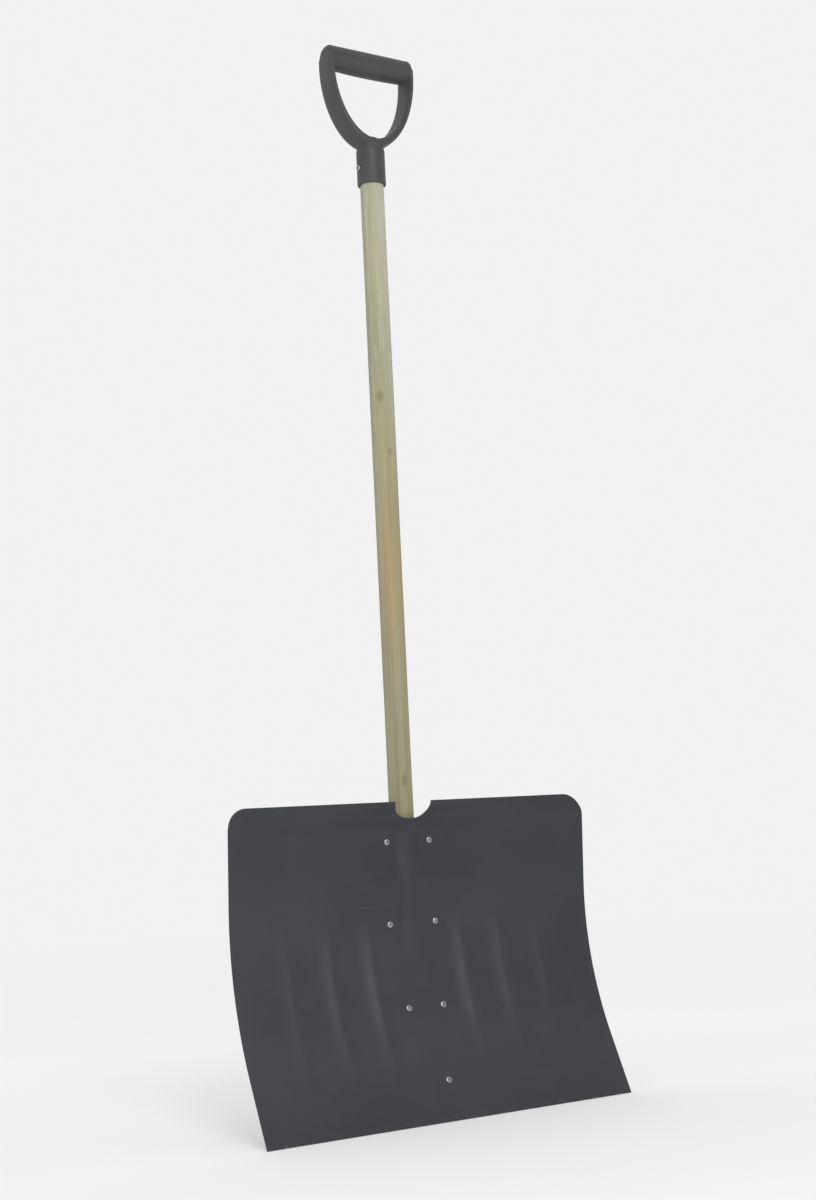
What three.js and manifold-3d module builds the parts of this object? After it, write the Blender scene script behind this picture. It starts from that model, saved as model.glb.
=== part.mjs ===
// A snow shovel: a pressed sheet-metal blade riveted to a socket bracket, which holds a
// straight wooden shaft with a moulded D-grip on its top end.
// Millimetres. +Z runs up along the shaft, the blade's hollow front faces -Y, and the origin
// is on the floor under the middle of the shovel.
import * as THREE from 'three';
import { mergeVertices } from 'three/addons/utils/BufferGeometryUtils.js';
import Module from 'manifold-3d';

const wasm = await Module();
wasm.setup();

// ---------------------------------------------------------------- driving dimensions
const GAP = 0.35; // clearance left between touching pieces

// Blade. Distances "down" are measured along the sheet from its top edge.
const BLADE_WIDTH = 500;
const BLADE_LENGTH = 376; // flat length of the sheet, top edge to scraping edge
const BLADE_SHEET = 1.5;
const BEND_START = 110; // above this the sheet is straight
const BEND_END = 300; // below this it is straight again
const UPPER_LEAN = THREE.MathUtils.degToRad(-3);
const LOWER_LEAN = THREE.MathUtils.degToRad(25.5);
const BLADE_FRONT_Y = -33; // front face at the crease's height, ahead of the shaft's axis
const LIP_DEPTH = 21;
const LIP_LEAN = THREE.MathUtils.degToRad(14);
const CORNER_RADIUS = 26;
const NOTCH_HALF_WIDTH = 25.3;
const NOTCH_DEPTH = 20.5;
const NOTCH_SQUARENESS = 2.3; // 2 would make the notch half an ellipse

// The middle of the blade is drawn back against the shaft.
const BOW_DEPTH = 13.5;
const BOW_RISE_END = 42;
const BOW_FALL_START = 130;

// Round the notch the sheet is dished further back.
const DISH_DEPTH = 6.2;
const DISH_HALF_WIDTH = 160;
const DISH_RISE_END = 17;
const DISH_FALL_START = 48;
const DISH_FALL_END = 100;

// A pressed seat over the shaft, below the notch.
const SEAT_HEIGHT = 3.5;
const SEAT_SHARE_OF_DISH = 0.45; // the seat stands this much higher where the sheet is dished
const SEAT_HALF_WIDTH = 20;
const SEAT_START = 22;
const SEAT_FADE = 26;
const SEAT_END = 186;

// Stiffening ridges, three on each side, from the inner one outwards.
const RIDGES = [
  { centre: 64, height: 5.4 },
  { centre: 120, height: 4.6 },
  { centre: 176, height: 2.8 },
];
const RIDGE_HALF_WIDTH = 19;
const RIDGE_CREST = 0.17; // how far the crest is rounded, as a share of the half width
const RIDGE_START = 124;
const RIDGE_END = 345;
const RIDGE_FADE_IN = 52;
const RIDGE_FADE_OUT = 145;

// Shaft.
const SHAFT_RADIUS = 15;
const SHAFT_BOTTOM_Z = 150;
const SHAFT_TOP_Z = 1178;
const SHAFT_CHAMFER = 2;

// Socket bracket. "Down" distances follow the blade.
const BRACKET_SHEET = 1.5;
const BRACKET_TOP = 28;
const BRACKET_BOTTOM = 341;
const CHANNEL_RADIUS = SHAFT_RADIUS + 0.6;
const CHANNEL_TAPER_START = 216;
const CHANNEL_TAPER_END = 306;
const CHANNEL_END_HALF_WIDTH = 5;
const FLANGE_HALF_WIDTH = 42;
const FLANGE_TAPER_START = 165;
const FLANGE_TAPER_END = 318;
const TAIL_HALF_WIDTH = 13;
const TAIL_ROUND_START = 332;
const TAIL_ROUNDNESS = 0.8; // 1 would bring the tail to a point
const CHANNEL_DRAFT = 1.4;

// Blind rivets: [name, x, distance down the blade].
const RIVETS = [
  ['top_left', -30, 48],
  ['top_right', 30, 48],
  ['upper_left', -32, 143],
  ['upper_right', 32, 143],
  ['lower_left', -24, 239],
  ['lower_right', 24, 239],
  ['tail', 0, 328],
];
const RIVET_RADIUS = 2;
const RIVET_HEAD_RADIUS = 4;
const RIVET_HEAD_HEIGHT = 1.4;
const RIVET_BORE_RADIUS = 1.25;
const RIVET_BULB_RADIUS = 3;
const RIVET_BULB_LENGTH = 3.4;
const MANDREL_RADIUS = 0.95;
const MANDREL_HEAD_RADIUS = 1.9;
const MANDREL_HEAD_LENGTH = 1.6;

// Screws.
const SCREW_RADIUS = 1.7;
const SCREW_LENGTH = 20;
const SCREW_HEAD_RADIUS = 3.8;
const SCREW_HEAD_HEIGHT = 2.4;
const SHAFT_SCREW_HEIGHTS = { upper: 268, lower: 178 };
const GRIP_SCREW_Z = 1152;

// D-grip.
const GRIP_RIM_Z = 1131;
const GRIP_RIM_BEAD = 0.5;
const SOCKET_RADIUS = 17.8;
const SOCKET_TOP_Z = 1191;
const SOCKET_BORE_RADIUS = SHAFT_RADIUS + GAP;
const BAR_Z = 1288.5;
const BAR_RADIUS = 16.2;
const BAR_END_RADIUS = 15.4;
const BAR_FLATTENING = 0.9; // depth over height
const YOKE_CENTRE_Z = 1281; // middle of the two half ellipses that bound the yoke
const YOKE_OUTER = { halfWidth: 62, drop: 103 };
const YOKE_INNER = { halfWidth: 55, drop: 90 };
const YOKE_DEPTH = 33.6; // the arms are thin from in front and deep from the side
const ARM_ROUNDING = { across: 2.6, deep: 7 };
const ARM_ROUNDING_STEPS = 3;
const ARM_END_FACE_RADIUS = 7; // the arms' round top ends narrow to this on the outside

// ---------------------------------------------------------------- materials
const PAINT = new THREE.MeshStandardMaterial({ color: 0x44474a, roughness: 0.55, metalness: 0.2 });
const WOOD = new THREE.MeshStandardMaterial({ color: 0xb9ad88, roughness: 0.7, metalness: 0 });
const PLASTIC = new THREE.MeshStandardMaterial({ color: 0x3f4242, roughness: 0.6, metalness: 0 });
const ALUMINIUM = new THREE.MeshStandardMaterial({ color: 0xc8c9cb, roughness: 0.35, metalness: 1 });
const STEEL = new THREE.MeshStandardMaterial({ color: 0x8d8f92, roughness: 0.4, metalness: 1 });

// ---------------------------------------------------------------- solids
/** Merges shared corners and drops triangles that have no area. */
function weld(geometry) {
  const loose = geometry.index ? geometry.toNonIndexed() : geometry.clone();
  loose.deleteAttribute('normal');
  loose.deleteAttribute('uv');
  const merged = mergeVertices(loose, 1e-3);
  const corners = merged.index.array;
  const kept = [];
  for (let i = 0; i < corners.length; i += 3) {
    const [a, b, c] = [corners[i], corners[i + 1], corners[i + 2]];
    if (a !== b && b !== c && c !== a) kept.push(a, b, c);
  }
  merged.setIndex(kept);
  return merged;
}

function toManifold(geometry) {
  const welded = weld(geometry);
  const vertProperties = new Float32Array(welded.attributes.position.array);
  const triVerts = new Uint32Array(welded.index.array);
  return new wasm.Manifold(new wasm.Mesh({ numProp: 3, vertProperties, triVerts }));
}

function toGeometry(manifold) {
  const { vertProperties, triVerts } = manifold.getMesh();
  const geometry = new THREE.BufferGeometry();
  geometry.setAttribute('position', new THREE.BufferAttribute(vertProperties, 3));
  geometry.setIndex(new THREE.BufferAttribute(triVerts, 1));
  return geometry;
}

function join(...geometries) {
  return toGeometry(geometries.map(toManifold).reduce((sum, next) => sum.add(next)));
}

function cut(geometry, cutters) {
  const start = toManifold(geometry);
  return toGeometry(cutters.map(toManifold).reduce((rest, next) => rest.subtract(next), start));
}

/**
 * A closed sheet of metal: two grids of points, columns by rows, one for each face.
 * front(i, j) and back(i, j) give a face's point in column i and row j.
 */
function closedSheet(columns, rows, front, back) {
  const positions = [];
  const faces = [];
  for (const face of [front, back]) {
    for (let j = 0; j < rows; j++) {
      for (let i = 0; i < columns; i++) positions.push(...face(i, j).toArray());
    }
  }
  const frontAt = (i, j) => j * columns + i;
  const backAt = (i, j) => columns * rows + frontAt(i, j);
  const quad = (a, b, c, d) => faces.push(a, b, c, a, c, d);
  for (let j = 0; j < rows - 1; j++) {
    for (let i = 0; i < columns - 1; i++) {
      quad(frontAt(i, j), frontAt(i, j + 1), frontAt(i + 1, j + 1), frontAt(i + 1, j));
      quad(backAt(i, j), backAt(i + 1, j), backAt(i + 1, j + 1), backAt(i, j + 1));
    }
    const last = columns - 1;
    quad(frontAt(0, j), backAt(0, j), backAt(0, j + 1), frontAt(0, j + 1));
    quad(frontAt(last, j), frontAt(last, j + 1), backAt(last, j + 1), backAt(last, j));
  }
  for (let i = 0; i < columns - 1; i++) {
    const last = rows - 1;
    quad(frontAt(i, 0), frontAt(i + 1, 0), backAt(i + 1, 0), backAt(i, 0));
    quad(frontAt(i, last), backAt(i, last), backAt(i + 1, last), frontAt(i + 1, last));
  }
  const geometry = new THREE.BufferGeometry();
  geometry.setAttribute('position', new THREE.Float32BufferAttribute(positions, 3));
  geometry.setIndex(faces);
  return geometry;
}

/** Turns [radius, height] pairs about Z. The pairs start and end on the axis, or close. */
function turned(pairs, segments) {
  const profile = pairs.map(([radius, height]) => new THREE.Vector2(radius, height));
  return new THREE.LatheGeometry(profile, segments).rotateX(Math.PI / 2);
}

/** Moves a shape made along +Z so that it starts at a point and runs along a direction. */
function aimed(geometry, point, direction) {
  const turn = new THREE.Quaternion().setFromUnitVectors(new THREE.Vector3(0, 0, 1), direction);
  return geometry.applyQuaternion(turn).translate(point.x, point.y, point.z);
}

/** A plain round rod, used as a hole cutter. */
function rod(radius, from, to, segments = 16) {
  return turned([[0, from], [radius, from], [radius, to], [0, to]], segments);
}

/** Extrudes an outline drawn in x and z along Y. */
function throughY(outline, reach) {
  return new THREE.ExtrudeGeometry(outline, { depth: 2 * reach, bevelEnabled: false, curveSegments: 16 })
    .rotateX(Math.PI / 2)
    .translate(0, reach, 0);
}

// ---------------------------------------------------------------- the blade's surface
const BEND_RADIUS = (BEND_END - BEND_START) / (LOWER_LEAN - UPPER_LEAN);
const BLADE_TOP_Z =
  BEND_START * Math.cos(UPPER_LEAN) +
  BEND_RADIUS * (Math.sin(LOWER_LEAN) - Math.sin(UPPER_LEAN)) +
  (BLADE_LENGTH - BEND_END) * Math.cos(LOWER_LEAN);
const EDGE_Z = 0; // the front face's lower edge, where the sheet is cut level

const { smoothstep, clamp, lerp } = THREE.MathUtils;

/** Side profile of the front face: straight, a round bend, straight. */
function profile(down) {
  const upper = Math.min(down, BEND_START);
  const bent = clamp(down - BEND_START, 0, BEND_END - BEND_START);
  const lower = Math.max(down - BEND_END, 0);
  const lean = UPPER_LEAN + bent / BEND_RADIUS;
  const y =
    BLADE_FRONT_Y -
    upper * Math.sin(UPPER_LEAN) +
    BEND_RADIUS * (Math.cos(lean) - Math.cos(UPPER_LEAN)) -
    lower * Math.sin(LOWER_LEAN);
  const z =
    BLADE_TOP_Z -
    upper * Math.cos(UPPER_LEAN) -
    BEND_RADIUS * (Math.sin(lean) - Math.sin(UPPER_LEAN)) -
    lower * Math.cos(LOWER_LEAN);
  return { y, z, lean };
}

/** How far the pressed sheet stands behind its plain side profile. */
function pressing(x, down) {
  const lip = Math.max(LIP_DEPTH - down, 0) * Math.tan(LIP_LEAN);
  const fall = clamp((down - BOW_FALL_START) / (BLADE_LENGTH - BOW_FALL_START), 0, 1);
  const bowAlong = smoothstep(down, 0, BOW_RISE_END) * 0.5 * (1 + Math.cos(Math.PI * fall));
  const bow = BOW_DEPTH * bowAlong * (1 - (2 * x / BLADE_WIDTH) ** 2);
  const seatAlong =
    smoothstep(down, SEAT_START, SEAT_START + SEAT_FADE) *
    (1 - smoothstep(down, SEAT_END - 1.5 * SEAT_FADE, SEAT_END));
  const dishAlong =
    smoothstep(down, 0, DISH_RISE_END) *
    (1 - smoothstep(down, DISH_FALL_START, DISH_FALL_END));
  const dish = DISH_DEPTH * dishAlong;
  const seat = (SEAT_HEIGHT * seatAlong + SEAT_SHARE_OF_DISH * dish) * bump(x, SEAT_HALF_WIDTH);
  const ridgeAlong =
    smoothstep(down, RIDGE_START, RIDGE_START + RIDGE_FADE_IN) *
    (1 - smoothstep(down, RIDGE_END - RIDGE_FADE_OUT, RIDGE_END));
  const ridges = RIDGES.reduce((sum, r) => sum + r.height * ridge(Math.abs(x) - r.centre), 0);
  return lip + bow + dish * bump(x, DISH_HALF_WIDTH) - seat - ridgeAlong * ridges;
}

/** Cross-section of a ridge of height 1: hollow flanks that meet in a rounded crest. */
function ridge(offset) {
  const share = Math.min(Math.abs(offset) / RIDGE_HALF_WIDTH, 1);
  const fall = Math.hypot(share, RIDGE_CREST) - RIDGE_CREST;
  const foot = Math.hypot(1, RIDGE_CREST) - RIDGE_CREST;
  return (1 - fall / foot) ** 2;
}

/** A smooth hump of height 1 that reaches halfWidth to each side. */
function bump(offset, halfWidth) {
  const share = clamp(offset / halfWidth, -1, 1);
  return 0.5 * (1 + Math.cos(Math.PI * share));
}

/** A point of the blade, a given depth behind its front face. */
function bladePoint(x, down, behind = 0) {
  const { y, z, lean } = profile(down);
  const depth = pressing(x, down) + behind;
  return new THREE.Vector3(x, y + depth * Math.cos(lean), z - depth * Math.sin(lean));
}

/** The direction straight through the sheet, from the front face to the back. */
function bladeInward(x, down) {
  const step = 0.5;
  const across = bladePoint(x + step, down).sub(bladePoint(x - step, down));
  const along = bladePoint(x, down + step).sub(bladePoint(x, down - step));
  return across.cross(along).normalize();
}

// ---------------------------------------------------------------- blade
function spread(from, to, count) {
  return Array.from({ length: count }, (_, i) => lerp(from, to, i / (count - 1)));
}

function bladeColumns() {
  const right = spread(0, SEAT_HALF_WIDTH, 4);
  for (const { centre } of RIDGES) {
    right.push(...spread(centre - RIDGE_HALF_WIDTH, centre + RIDGE_HALF_WIDTH, 6));
  }
  right.push(RIDGES[0].centre / 2, BLADE_WIDTH / 2 - 30, BLADE_WIDTH / 2);
  const left = right.filter((x) => x > 0).map((x) => -x);
  return [...left, ...right].sort((a, b) => a - b);
}

function bladeRows() {
  const lip = [0, LIP_DEPTH / 4, LIP_DEPTH / 2, 0.75 * LIP_DEPTH, LIP_DEPTH];
  const upper = [BRACKET_TOP, LIP_DEPTH + 14, BOW_RISE_END, 54, 80];
  const bend = spread(BEND_START, BEND_END, 11);
  const lower = [...spread(BEND_END, BRACKET_BOTTOM, 4).slice(1), BLADE_LENGTH];
  return [...lip, ...upper, ...bend, ...lower];
}

function rivetHole(x, down) {
  const start = bladePoint(x, down);
  return aimed(rod(RIVET_RADIUS + GAP, -6, 9, 12), start, bladeInward(x, down));
}

function cornerCutter(side) {
  const inner = BLADE_WIDTH / 2 - CORNER_RADIUS;
  const low = BLADE_TOP_Z - CORNER_RADIUS;
  const beyond = 8;
  const outline = new THREE.Shape();
  outline.moveTo(inner, BLADE_TOP_Z);
  outline.absarc(inner, low, CORNER_RADIUS, Math.PI / 2, 0, true);
  outline.lineTo(inner + CORNER_RADIUS + beyond, low);
  outline.lineTo(inner + CORNER_RADIUS + beyond, BLADE_TOP_Z + beyond);
  outline.lineTo(inner, BLADE_TOP_Z + beyond);
  const geometry = throughY(outline, 80);
  return side > 0 ? geometry : geometry.rotateZ(Math.PI);
}

function notchCutter() {
  const outline = new THREE.Shape();
  const beyond = 10;
  outline.moveTo(NOTCH_HALF_WIDTH, BLADE_TOP_Z + beyond);
  outline.lineTo(-NOTCH_HALF_WIDTH, BLADE_TOP_Z + beyond);
  for (const turn of spread(0, Math.PI, 25)) {
    const across = -Math.sign(Math.cos(turn)) * Math.abs(Math.cos(turn)) ** (2 / NOTCH_SQUARENESS);
    const drop = Math.sin(turn) ** (2 / NOTCH_SQUARENESS);
    outline.lineTo(NOTCH_HALF_WIDTH * across, BLADE_TOP_Z - NOTCH_DEPTH * drop);
  }
  return throughY(outline, 80);
}

/** Levels the scraping edge, so that the blade stands on a flat face. */
function edgeCutter() {
  return new THREE.BoxGeometry(BLADE_WIDTH + 20, 400, 20).translate(0, 0, EDGE_Z - 10);
}

function makeBlade() {
  const xs = bladeColumns();
  const downs = bladeRows();
  const sheet = closedSheet(
    xs.length,
    downs.length,
    (i, j) => bladePoint(xs[i], downs[j]),
    (i, j) => bladePoint(xs[i], downs[j], BLADE_SHEET),
  );
  const holes = RIVETS.map(([, x, down]) => rivetHole(x, down));
  return cut(sheet, [cornerCutter(1), cornerCutter(-1), notchCutter(), edgeCutter(), ...holes]);
}

// ---------------------------------------------------------------- socket bracket
/** The bracket's flange and channel half widths, and how far back its channel reaches. */
function bracketSection(down) {
  const flangeTaper = smoothstep(down, FLANGE_TAPER_START, FLANGE_TAPER_END);
  const roundShare = clamp((down - TAIL_ROUND_START) / (BRACKET_BOTTOM - TAIL_ROUND_START), 0, 1);
  const tip = Math.sqrt(1 - (TAIL_ROUNDNESS * roundShare) ** 2);
  const taper = smoothstep(down, CHANNEL_TAPER_START, CHANNEL_TAPER_END);
  const flange = tip * lerp(FLANGE_HALF_WIDTH, TAIL_HALF_WIDTH, flangeTaper);
  const channel = tip * lerp(CHANNEL_RADIUS, CHANNEL_END_HALF_WIDTH, taper);
  const seatY = bladePoint(channel, down, BLADE_SHEET + GAP).y;
  const wallY = lerp(0, seatY, taper);
  const backY = lerp(CHANNEL_RADIUS, seatY, taper);
  return { flange, channel, wallY, backY, taper };
}

/** One face of the bracket, a given thickness behind the face that lies on the blade. */
function bracketRow(down, thick) {
  const { flange, channel, wallY, backY, taper } = bracketSection(down);
  const behind = BLADE_SHEET + GAP + thick;
  const edge = channel + thick;
  const foot = edge + CHANNEL_DRAFT;
  const right = [foot, (flange + foot) / 2, flange].map((x) => bladePoint(x, down, behind));
  const left = [-flange, -(flange + foot) / 2, -foot].map((x) => bladePoint(x, down, behind));
  const arc = spread(0, Math.PI, 13).map((turn) => {
    const crown = Math.sin(turn);
    const y = lerp(wallY, backY, crown) + thick * lerp(crown, 1, taper);
    return new THREE.Vector3(-edge * Math.cos(turn), y, right[0].z);
  });
  return [...left, ...arc, ...right];
}

function makeBracket() {
  const shared = bladeRows().filter((down) => down >= BRACKET_TOP && down <= BRACKET_BOTTOM);
  const extra = [CHANNEL_TAPER_START + 28, CHANNEL_TAPER_START + 48, TAIL_ROUND_START, BRACKET_BOTTOM - 3];
  const downs = [...shared, ...extra].sort((a, b) => a - b);
  const fronts = downs.map((down) => bracketRow(down, 0));
  const backs = downs.map((down) => bracketRow(down, BRACKET_SHEET));
  const sheet = closedSheet(fronts[0].length, downs.length, (i, j) => fronts[j][i], (i, j) => backs[j][i]);
  const holes = RIVETS.map(([, x, down]) => rivetHole(x, down));
  return cut(sheet, [...holes, ...shaftScrewHoles()]);
}

// ---------------------------------------------------------------- rivets
function makeRivet() {
  const grip = BLADE_SHEET + BRACKET_SHEET + GAP;
  const tail = grip + GAP;
  const head = -GAP;
  return turned([
    [RIVET_BORE_RADIUS, head - RIVET_HEAD_HEIGHT],
    [RIVET_HEAD_RADIUS * 0.55, head - RIVET_HEAD_HEIGHT],
    [RIVET_HEAD_RADIUS * 0.88, head - RIVET_HEAD_HEIGHT * 0.62],
    [RIVET_HEAD_RADIUS, head],
    [RIVET_RADIUS, head],
    [RIVET_RADIUS, tail],
    [RIVET_BULB_RADIUS, tail + RIVET_BULB_LENGTH * 0.25],
    [RIVET_BULB_RADIUS, tail + RIVET_BULB_LENGTH * 0.6],
    [RIVET_BORE_RADIUS + 0.5, tail + RIVET_BULB_LENGTH],
    [RIVET_BORE_RADIUS, tail + RIVET_BULB_LENGTH],
    [RIVET_BORE_RADIUS, head - RIVET_HEAD_HEIGHT],
  ], 16);
}

function makeMandrel() {
  const tail = BLADE_SHEET + BRACKET_SHEET + 2 * GAP + RIVET_BULB_LENGTH;
  const seat = tail + GAP;
  return turned([
    [0, 0.4],
    [MANDREL_RADIUS, 0.4],
    [MANDREL_RADIUS, seat],
    [MANDREL_HEAD_RADIUS, seat],
    [MANDREL_HEAD_RADIUS, seat + MANDREL_HEAD_LENGTH * 0.5],
    [MANDREL_HEAD_RADIUS * 0.6, seat + MANDREL_HEAD_LENGTH],
    [0, seat + MANDREL_HEAD_LENGTH],
  ], 12);
}

// ---------------------------------------------------------------- screws
/** A pan-head wood screw along +Z: the head's seat is at 0 and the shank runs upwards. */
function makeScrew() {
  const tip = 4;
  return turned([
    [0, -SCREW_HEAD_HEIGHT],
    [SCREW_HEAD_RADIUS * 0.6, -SCREW_HEAD_HEIGHT],
    [SCREW_HEAD_RADIUS, -SCREW_HEAD_HEIGHT * 0.45],
    [SCREW_HEAD_RADIUS, 0],
    [SCREW_RADIUS, 0],
    [SCREW_RADIUS, SCREW_LENGTH - tip],
    [0, SCREW_LENGTH],
  ], 16);
}

const TOWARDS_FRONT = new THREE.Vector3(0, -1, 0);
const TOWARDS_RIGHT = new THREE.Vector3(1, 0, 0);

function shaftScrewSeat(height) {
  return new THREE.Vector3(0, CHANNEL_RADIUS + BRACKET_SHEET + GAP, height);
}

function gripScrewSeat() {
  return new THREE.Vector3(-SOCKET_RADIUS - GAP, 0, GRIP_SCREW_Z);
}

function screwHole(seat, direction) {
  return aimed(rod(SCREW_RADIUS + GAP, -1, SCREW_LENGTH + 2, 12), seat, direction);
}

function shaftScrewHoles() {
  return Object.values(SHAFT_SCREW_HEIGHTS).map((z) => screwHole(shaftScrewSeat(z), TOWARDS_FRONT));
}

// ---------------------------------------------------------------- shaft
function makeShaft() {
  const pole = turned([
    [0, SHAFT_BOTTOM_Z],
    [SHAFT_RADIUS - SHAFT_CHAMFER, SHAFT_BOTTOM_Z],
    [SHAFT_RADIUS, SHAFT_BOTTOM_Z + SHAFT_CHAMFER],
    [SHAFT_RADIUS, SHAFT_TOP_Z - SHAFT_CHAMFER],
    [SHAFT_RADIUS - SHAFT_CHAMFER, SHAFT_TOP_Z],
    [0, SHAFT_TOP_Z],
  ], 40);
  return cut(pole, [...shaftScrewHoles(), screwHole(gripScrewSeat(), TOWARDS_RIGHT)]);
}

// ---------------------------------------------------------------- D-grip
/** The U-shaped yoke: two arms that meet under the hand hole. */
function makeYoke() {
  const outline = new THREE.Shape();
  const { halfWidth: outerWidth, drop: outerDrop } = YOKE_OUTER;
  const { halfWidth: innerWidth, drop: innerDrop } = YOKE_INNER;
  const inset = ARM_ROUNDING.across;
  const outer = [outerWidth - inset, outerDrop - inset];
  const inner = [innerWidth + inset, innerDrop + inset];
  outline.moveTo(-outer[0], BAR_Z);
  outline.lineTo(-outer[0], YOKE_CENTRE_Z);
  outline.absellipse(0, YOKE_CENTRE_Z, ...outer, Math.PI, 2 * Math.PI, false, 0);
  outline.lineTo(outer[0], BAR_Z);
  outline.lineTo(inner[0], BAR_Z);
  outline.lineTo(inner[0], YOKE_CENTRE_Z);
  outline.absellipse(0, YOKE_CENTRE_Z, ...inner, 2 * Math.PI, Math.PI, true, 0);
  outline.lineTo(-inner[0], BAR_Z);
  const body = YOKE_DEPTH - 2 * ARM_ROUNDING.deep;
  return new THREE.ExtrudeGeometry(outline, {
    depth: body,
    curveSegments: 30,
    bevelThickness: ARM_ROUNDING.deep,
    bevelSize: inset,
    bevelSegments: ARM_ROUNDING_STEPS,
  })
    .rotateX(Math.PI / 2)
    .translate(0, body / 2, 0);
}

/** Turns [radius, x] pairs about the crossbar's axis and flattens the result in depth. */
function alongBar(pairs, flattening) {
  return turned(pairs, 28)
    .rotateY(Math.PI / 2)
    .scale(1, flattening, 1)
    .translate(0, 0, BAR_Z);
}

function makeCrossbar() {
  const end = YOKE_INNER.halfWidth + 2;
  const swell = spread(-end, end, 9).map((x) => {
    return [lerp(BAR_RADIUS, BAR_END_RADIUS, (x / end) ** 2), x];
  });
  return alongBar([[0, -end], ...swell, [0, end]], BAR_FLATTENING);
}

/** The domed top end of an arm. */
function makeEar(side) {
  const radius = YOKE_DEPTH / 2;
  const thick = YOKE_OUTER.halfWidth - YOKE_INNER.halfWidth;
  const dome = spread(0, Math.PI / 2, 7).map((turn) => {
    const x = YOKE_INNER.halfWidth + thick * Math.sin(turn);
    return [lerp(ARM_END_FACE_RADIUS, radius, Math.cos(turn)), x];
  });
  const ear = alongBar([[0, YOKE_INNER.halfWidth], ...dome, [0, YOKE_OUTER.halfWidth]], 1);
  return side > 0 ? ear : ear.rotateZ(Math.PI);
}

function makeGrip() {
  const socket = turned([
    [0, GRIP_RIM_Z],
    [SOCKET_RADIUS, GRIP_RIM_Z],
    [SOCKET_RADIUS + GRIP_RIM_BEAD, GRIP_RIM_Z + 1],
    [SOCKET_RADIUS + GRIP_RIM_BEAD, GRIP_RIM_Z + 4],
    [SOCKET_RADIUS, GRIP_RIM_Z + 6],
    [SOCKET_RADIUS, SOCKET_TOP_Z - 10],
    [SOCKET_RADIUS - 2, SOCKET_TOP_Z - 3],
    [SOCKET_RADIUS - 7, SOCKET_TOP_Z],
    [0, SOCKET_TOP_Z],
  ], 40);
  const whole = join(socket, makeYoke(), makeCrossbar(), makeEar(1), makeEar(-1));
  const bore = rod(SOCKET_BORE_RADIUS, GRIP_RIM_Z - 5, SHAFT_TOP_Z + GAP, 40);
  return cut(whole, [bore, screwHole(gripScrewSeat(), TOWARDS_RIGHT)]);
}

// ---------------------------------------------------------------- assembly
const shovel = new THREE.Group();

function add(name, geometry, material) {
  const mesh = new THREE.Mesh(weld(geometry), material);
  mesh.name = name;
  shovel.add(mesh);
  return mesh;
}

add('blade', makeBlade(), PAINT);
add('socket_bracket', makeBracket(), PAINT);
add('shaft', makeShaft(), WOOD);
add('d_grip', makeGrip(), PLASTIC);
for (const [name, x, down] of RIVETS) {
  const seat = bladePoint(x, down);
  const inward = bladeInward(x, down);
  add(`rivet_${name}`, aimed(makeRivet(), seat, inward), ALUMINIUM);
  add(`mandrel_${name}`, aimed(makeMandrel(), seat, inward), STEEL);
}
for (const [name, height] of Object.entries(SHAFT_SCREW_HEIGHTS)) {
  add(`shaft_screw_${name}`, aimed(makeScrew(), shaftScrewSeat(height), TOWARDS_FRONT), STEEL);
}
add('grip_screw', aimed(makeScrew(), gripScrewSeat(), TOWARDS_RIGHT), STEEL);

// The origin lies under the middle of the whole shovel, front to back.
const frontReach = -bladePoint(BLADE_WIDTH / 2, BLADE_LENGTH).y;
const backReach = shaftScrewSeat(0).y + SCREW_HEAD_HEIGHT;
shovel.position.y = (frontReach - backReach) / 2;

const part = new THREE.Group();
part.add(shovel);

export default part;
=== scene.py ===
"""A snow shovel: pressed sheet-metal blade, socket bracket, wooden shaft and moulded D-grip.

Every length is in metres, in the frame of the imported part: +Z runs up the shaft and the blade's
hollow front faces -Y. Distances "down" are measured along the blade's sheet from its top edge.
"""

import math

import bmesh
import bpy
import numpy as np
from mathutils import Matrix, Vector


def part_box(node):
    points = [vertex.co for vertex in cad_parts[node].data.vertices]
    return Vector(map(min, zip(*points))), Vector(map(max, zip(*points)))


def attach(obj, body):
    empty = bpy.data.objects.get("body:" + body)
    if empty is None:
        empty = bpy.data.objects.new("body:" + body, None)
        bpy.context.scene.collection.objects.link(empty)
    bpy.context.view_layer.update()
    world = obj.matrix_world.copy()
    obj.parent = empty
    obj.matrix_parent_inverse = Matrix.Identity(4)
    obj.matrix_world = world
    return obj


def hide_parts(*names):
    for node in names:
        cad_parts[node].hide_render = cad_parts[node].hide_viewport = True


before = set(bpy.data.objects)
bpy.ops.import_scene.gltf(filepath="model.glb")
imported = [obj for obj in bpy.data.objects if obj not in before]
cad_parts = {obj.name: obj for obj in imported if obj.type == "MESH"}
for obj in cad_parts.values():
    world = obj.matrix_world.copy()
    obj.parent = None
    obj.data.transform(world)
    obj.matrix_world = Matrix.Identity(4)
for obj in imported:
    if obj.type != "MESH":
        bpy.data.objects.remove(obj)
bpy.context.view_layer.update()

MM = 0.001

# ------------------------------------------------------------------ places read from the frame
SHAFT_LOW, SHAFT_HIGH = (Vector(corner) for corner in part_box("shaft"))
GRIP_LOW, GRIP_HIGH = (Vector(corner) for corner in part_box("d_grip"))
BLADE_LOW, BLADE_HIGH = (Vector(corner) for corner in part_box("blade"))
AXIS_Y = (SHAFT_LOW.y + SHAFT_HIGH.y) / 2
SHAFT_RADIUS = (SHAFT_HIGH.x - SHAFT_LOW.x) / 2
BLADE_WIDTH = BLADE_HIGH.x - BLADE_LOW.x
BLADE_TOP_Z = BLADE_HIGH.z
RIM_Z = GRIP_LOW.z
GRIP_TOP_Z = GRIP_HIGH.z
GRIP_HALF_WIDTH = (GRIP_HIGH.x - GRIP_LOW.x) / 2

# ------------------------------------------------------------------ shaft dimensions
SHAFT_INSET = 0.2 * MM  # the drawn shaft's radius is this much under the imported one
SHAFT_END_EASE = 2.5 * MM

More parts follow.
